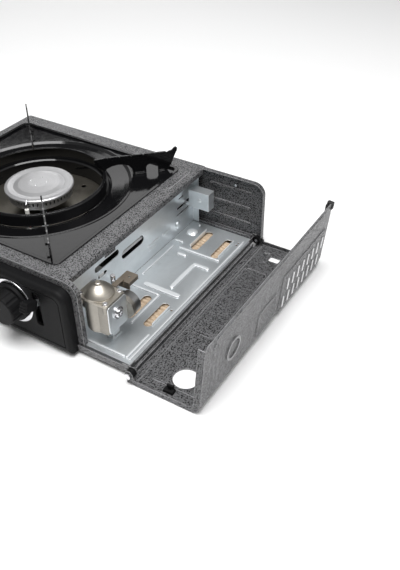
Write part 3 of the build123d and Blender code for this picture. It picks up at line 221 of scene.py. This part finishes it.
def zinc(name, tint, rough, sheet_top=None):
    """Galvanised sheet: faint crystals in a pale blue-grey satin skin.

    With sheet_top, the Z of a flat sheet's top, its raised pressings get painted shade at
    their foot and a painted highlight on their crest.
    """
    s = Shader(name)
    crystal = s.span(s.cell_tones(58), 0.2, 0.8, 0.0, 0.4)
    small = s.span(s.cell_tones(58 * 2.7), 0.2, 0.8, 0.0, 0.2)
    along = s.vector("MULTIPLY", s.where, (1.0, 0.18, 1.0))
    streak = s.span(s.noise(130, 5.0, 0.6, along), 0.3, 0.7, 0.0, 0.4)
    level = s.add(crystal, small, streak)
    base = s.colours(level, (0.1, scaled(tint, 0.90)), (0.9, tint))
    stain = s.span(s.noise(9, 1.0, 0.5), 0.36, 0.64, 0.0, 0.42, smooth=True)
    base = s.blend(stain, base, scaled(tint, 0.66))
    # painted highlight: the sheet's sharp edges are blended towards a paler zinc
    base = s.blend(s.times(s.edge_mask(0.0016, 0.01, 0.16), 0.90), base, ZINC_HIGHLIGHT)
    metallic = 0.80
    if sheet_top is not None:
        axes = s.tree.nodes.new("ShaderNodeSeparateXYZ")
        s.put(axes.inputs[0], s.where)
        rise = s.number("SUBTRACT", axes.outputs["Z"], sheet_top)
        # painted shade at the foot of each raised pressing
        foot_starts = s.span(rise, 0.00002, 0.00010, 0.0, 0.60)
        foot_ends = s.span(rise, 0.00045, 0.00090, 1.0, 0.0)
        base = s.blend(s.times(foot_starts, foot_ends), base, scaled(tint, 0.42))
        # painted highlight on each pressing's crest, which is also less metallic
        crest = s.span(rise, 0.0007, 0.0012, 0.0, 1.0)
        base = s.blend(s.times(crest, 0.45), base, ZINC_HIGHLIGHT)
        metallic = s.span(crest, 0.0, 1.0, metallic, 0.50)
    s.set(Base_Color=base, Metallic=metallic,
          Roughness=s.span(level, 0.0, 1.0, rough + 0.05, rough - 0.05),
          Normal=s.bump(s.noise(900, 3.0), 0.08, 0.00008, s.soft_edge(0.0007)))
    return s.mat


def metal(name, tint, rough, grain, bump):
    """Bare metal: slightly cloudy, with a fine grain and brighter edges, a painted highlight."""
    s = Shader(name)
    fine = s.noise(grain, 4.0, 0.6)
    cloud = s.span(s.noise(60, 5.0, 0.6), 0.3, 0.7, 0.0, 0.6)
    shade = s.add(cloud, s.span(fine, 0.3, 0.7, 0.0, 0.4))
    base = s.colours(shade, (0.05, scaled(tint, 0.8625)), (0.9, tint))
    # painted highlight: the sharp edges are blended towards a brighter tint
    base = s.blend(s.times(s.edge_mask(0.0006), 0.4), base, tuple(min(1, c * 1.25) for c in tint))
    s.set(Base_Color=base, Metallic=1.0,
          Roughness=s.span(shade, 0.0, 1.0, rough + 0.10, rough - 0.04),
          Normal=s.bump(fine, bump, 0.00010, s.soft_edge(0.0004)))
    return s.mat


def turned(name, tint, rough, centre, axis, pitch=0.0011, metallic=1.0):
    """Lathe-turned metal: fine rings about an axis, given as 'x', 'y' or 'z'."""
    s = Shader(name)
    from_centre = s.vector("SUBTRACT", s.where, tuple(centre))
    across = s.vector("MULTIPLY", from_centre, tuple(0.0 if a == axis else 1.0 for a in "xyz"))
    length = s.tree.nodes.new("ShaderNodeVectorMath")
    length.operation = "LENGTH"
    s.put(length.inputs[0], across)
    radial = s.tree.nodes.new("ShaderNodeCombineXYZ")
    s.put(radial.inputs[0], length.outputs["Value"])
    rings = s.noise(1.0 / pitch, 3.0, 0.65, radial.outputs[0])
    base = s.colours(rings, (0.3, scaled(tint, 0.82)), (0.75, tint))
    base = s.blend(s.span(s.noise(70), 0.45, 0.75, 0.0, 0.25), base, scaled(tint, 0.7))
    s.set(Base_Color=base, Metallic=metallic,
          Roughness=s.span(rings, 0.3, 0.7, rough + 0.06, rough - 0.05),
          Normal=s.bump(rings, 0.12, 0.00008, s.soft_edge(0.0004)))
    return s.mat


def enamel(name):
    """Glossy black enamel with a little orange peel and a few dust specks."""
    s = Shader(name)
    peel = s.noise(170, 2.0, 0.5)
    dust = s.span(s.noise(2600, 2.0, 0.6), 0.68, 0.78, 0.0, 1.0)
    base = s.blend(s.times(dust, 0.10), (0.004, 0.004, 0.0045), (0.12, 0.12, 0.12))
    s.specular(0.5)
    s.set(Base_Color=base, Roughness=s.span(peel, 0.3, 0.7, 0.07, 0.13),
          Normal=s.bump(peel, 0.10, 0.00030, s.soft_edge(0.0009)))
    return s.mat


def moulded(name, colour, rough, grain=1400, bump=0.25, edge_highlight=0.10, shine=0.5):
    """Moulded plastic, rubber or ceramic: finely pitted, with its edges a little paler as a painted
    highlight.
    """
    s = Shader(name)
    pits = s.noise(grain, 3.0, 0.6)
    base = s.blend(s.span(s.noise(45), 0.35, 0.7, 0.0, 1.0), scaled(colour, 0.82), colour)
    pale = tuple(min(1.0, c + 0.14) for c in colour)
    # painted highlight: the sharp edges are blended towards a paler colour
    base = s.blend(s.times(s.edge_mask(0.0008), edge_highlight), base, pale)
    s.specular(shine)
    s.set(Base_Color=base, Roughness=s.span(pits, 0.3, 0.7, rough - 0.06, rough + 0.08),
          Normal=s.bump(pits, bump, 0.00012, s.soft_edge(0.0006)))
    return s.mat


def board(name):
    """Tan corrugated board: paper fibres, with painted shade in the lines between its flutes."""
    s = Shader(name)
    fibre = s.noise(700, 5.0, 0.65, s.vector("MULTIPLY", s.where, (0.25, 1.0, 1.0)))
    wave = s.tree.nodes.new("ShaderNodeTexWave")
    wave.bands_direction = "Y"
    s.put(wave.inputs["Vector"], s.where)
    wave.inputs["Scale"].default_value = 62.0
    wave.inputs["Distortion"].default_value = 0.6
    flute = wave.outputs["Fac"]
    base = s.colours(fibre, (0.30, (0.36, 0.26, 0.17)), (0.70, (0.62, 0.50, 0.37)))
    # painted shade in the valleys between the flutes
    base = s.blend(s.span(flute, 0.0, 0.6, 0.45, 0.0), base, (0.30, 0.22, 0.15))
    relief = s.add(flute, s.times(fibre, 0.3))
    s.set(Base_Color=base, Roughness=0.86, Normal=s.bump(relief, 0.6, 0.0006))
    return s.mat


def middle(node):
    lo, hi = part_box(node)
    return (lo + hi) / 2


# by material slot
looks = {
    "hammertone_paint": hammertone("hammertone_paint", GROUND, FLECK),
    "galvanised_sheet": zinc("galvanised_sheet", ZINC, 0.32),
    "zinc_screw": metal("zinc_screw", (0.74, 0.74, 0.76), 0.24, 900, 0.10),
    "bright_steel": metal("bright_steel", (0.76, 0.76, 0.78), 0.16, 700, 0.06),
    "bright_aluminium": turned("bright_aluminium", (0.60, 0.60, 0.61), 0.34,
                               middle("burner_cap"), "z", metallic=0.70),
    "cast_aluminium": metal("cast_aluminium", (0.50, 0.50, 0.51), 0.48, 800, 0.5),
    "cast_zinc": metal("cast_zinc", (0.36, 0.34, 0.305), 0.40, 600, 0.35),
    "nickel_plate": turned("nickel_plate", (0.52, 0.485, 0.425), 0.40,
                           middle("regulator_cover"), "z"),
    "shield_steel": metal("shield_steel", (0.23, 0.215, 0.185), 0.42, 500, 0.15),
    "black_enamel": enamel("black_enamel"),
    "black_plastic": moulded("black_plastic", (0.004, 0.004, 0.0045), 0.60, edge_highlight=0.03, shine=0.18),
    "white_plastic": moulded("white_plastic", (0.80, 0.80, 0.78), 0.38, 1200, 0.10),
    "red_wire": moulded("red_wire", (0.45, 0.05, 0.04), 0.40, 1500, 0.08),
    "white_ceramic": moulded("white_ceramic", (0.84, 0.83, 0.79), 0.22, 1500, 0.05),
    "rubber_black": moulded("rubber_black", (0.020, 0.020, 0.020), 0.66, 1800, 0.40),
    "copper_pipe": metal("copper_pipe", (0.72, 0.40, 0.24), 0.26, 500, 0.08),
    "brass_part": metal("brass_part", (0.80, 0.62, 0.28), 0.24, 700, 0.08),
    "tan_board": board("tan_board"),
}
# by piece, in place of its slot's look
special = {
    "compartment_floor": zinc("galvanised_floor", ZINC, 0.32,
                              sheet_top=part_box("compartment_floor")[0].z + SHEET_RISE),
    "push_rod": metal("rod_steel", (0.78, 0.78, 0.79), 0.34, 700, 0.06),
    "guide_key": metal("key_bronze", (0.34, 0.29, 0.235), 0.38, 600, 0.15),
    "connector_ring": turned("ring_steel", (0.46, 0.46, 0.46), 0.30,
                             middle("connector_ring"), "y", pitch=0.0009),
    "rear_wall": hammertone("hammertone_shaded", SHADED_GROUND, SHADED_FLECK),
    # painted shade: the lid gets a darker copy of the body's lacquer
    "lid_shell": hammertone("hammertone_lid_shaded", SHADED_LID_GROUND, SHADED_LID_FLECK,
                            panel_foot=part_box("lid_shell")[1].x - LID_SETBACK),
}

for part in frame["record"]["subparts"]:
    obj = nodes[part["node"]]
    look = special.get(part["node"], looks[part["material_slot"]])
    obj.data.materials.clear()
    obj.data.materials.append(look)


# ------------------------------------------------------------------ floor, light, camera
def floor():
    mesh = bpy.data.meshes.new("floor")
    r, z = FLOOR_HALF, FLOOR_TOP
    mesh.from_pydata([(-r, -r, z), (r, -r, z), (r, r, z), (-r, r, z)], [], [(0, 1, 2, 3)])
    obj = bpy.data.objects.new("floor", mesh)
    bpy.context.scene.collection.objects.link(obj)
    s = Shader("floor_paper")
    paper = s.blend(s.noise(3.0, 3.0), (0.93, 0.93, 0.93), (0.95, 0.95, 0.95))
    s.set(Base_Color=paper, Roughness=0.9)
    mesh.materials.append(s.mat)


def softbox(name, at, size, power, towards):
    """A rectangular light of power watts, aimed at a point."""
    light = bpy.data.lights.new(name, "AREA")
    light.shape = "RECTANGLE"
    light.size, light.size_y = size
    light.energy = power
    obj = bpy.data.objects.new(name, light)
    obj.location = at
    obj.rotation_mode = "QUATERNION"
    obj.rotation_quaternion = (Vector(towards) - Vector(at)).to_track_quat("-Z", "Y")
    bpy.context.scene.collection.objects.link(obj)


def studio_sky():
    """White studio, darker in front, with a dark flag behind so that black enamel stays black."""
    world = bpy.data.worlds.new("studio")
    world.use_nodes = True
    tree = world.node_tree
    where = tree.nodes.new("ShaderNodeTexCoord").outputs["Generated"]

    def towards(direction, *ends):
        """Brightness by the cosine to a direction: two cosines, then the level at each."""
        dot = tree.nodes.new("ShaderNodeVectorMath")
        dot.operation = "DOT_PRODUCT"
        tree.links.new(where, dot.inputs[0])
        dot.inputs[1].default_value = direction
        ramp = tree.nodes.new("ShaderNodeMapRange")
        ramp.interpolation_type = "SMOOTHSTEP"
        tree.links.new(dot.outputs["Value"], ramp.inputs["Value"])
        for key, v in zip(("From Min", "From Max", "To Min", "To Max"), ends):
            ramp.inputs[key].default_value = v
        return ramp.outputs[0]

    flag = towards((-0.4117, 0.6614, 0.6270), 0.45, 0.85, 0.55, 0.08)
    front = towards((0.0, -1.0, 0.0), 0.0, 0.8, 1.0, 0.30)
    both = tree.nodes.new("ShaderNodeMath")
    both.operation = "MULTIPLY"
    tree.links.new(flag, both.inputs[0])
    tree.links.new(front, both.inputs[1])
    background = tree.nodes["Background"]
    tree.links.new(both.outputs[0], background.inputs["Strength"])
    background.inputs["Color"].default_value = (1.0, 1.0, 1.0, 1.0)
    return world


def add_camera():
    turn, rise, roll = (math.radians(a) for a in (CAMERA_TURN, CAMERA_RISE, CAMERA_ROLL))
    back = Vector((math.sin(turn) * math.cos(rise), -math.cos(turn) * math.cos(rise), math.sin(rise)))
    level = Vector((math.cos(turn), math.sin(turn), 0.0))
    upright = back.cross(level)
    right = level * math.cos(roll) + upright * math.sin(roll)
    up = upright * math.cos(roll) - level * math.sin(roll)
    lens = bpy.data.cameras.new("camera")
    lens.lens = CAMERA_LENS
    lens.sensor_width = SENSOR_WIDTH
    lens.clip_start = 0.01
    camera = bpy.data.objects.new("camera", lens)
    axes = Matrix((right, up, back)).transposed().to_4x4()
    camera.matrix_world = Matrix.Translation(CAMERA_AT) @ axes
    bpy.context.scene.collection.objects.link(camera)
    bpy.context.scene.camera = camera


floor()
softbox("overhead", (0.25, -0.30, 1.50), (1.2, 1.2), 34.0, (0, 0, 0))
softbox("right_fill", (1.45, 0.15, 0.80), (0.8, 0.8), 0.9, (0.05, 0, 0.04))
softbox("left_back", (-1.30, 1.35, 0.42), (0.5, 0.30), 1.2, (0, 0, 0.05))
# pale card inside the dark flag, which gives the black enamel its grey reflections
softbox("back_card", (-0.83, 0.96, 0.88), (0.75, 0.42), 1.4, (0.01, 0.02, 0.09))
bpy.context.scene.world = studio_sky()
bpy.context.scene.view_settings.view_transform = "Standard"
add_camera()
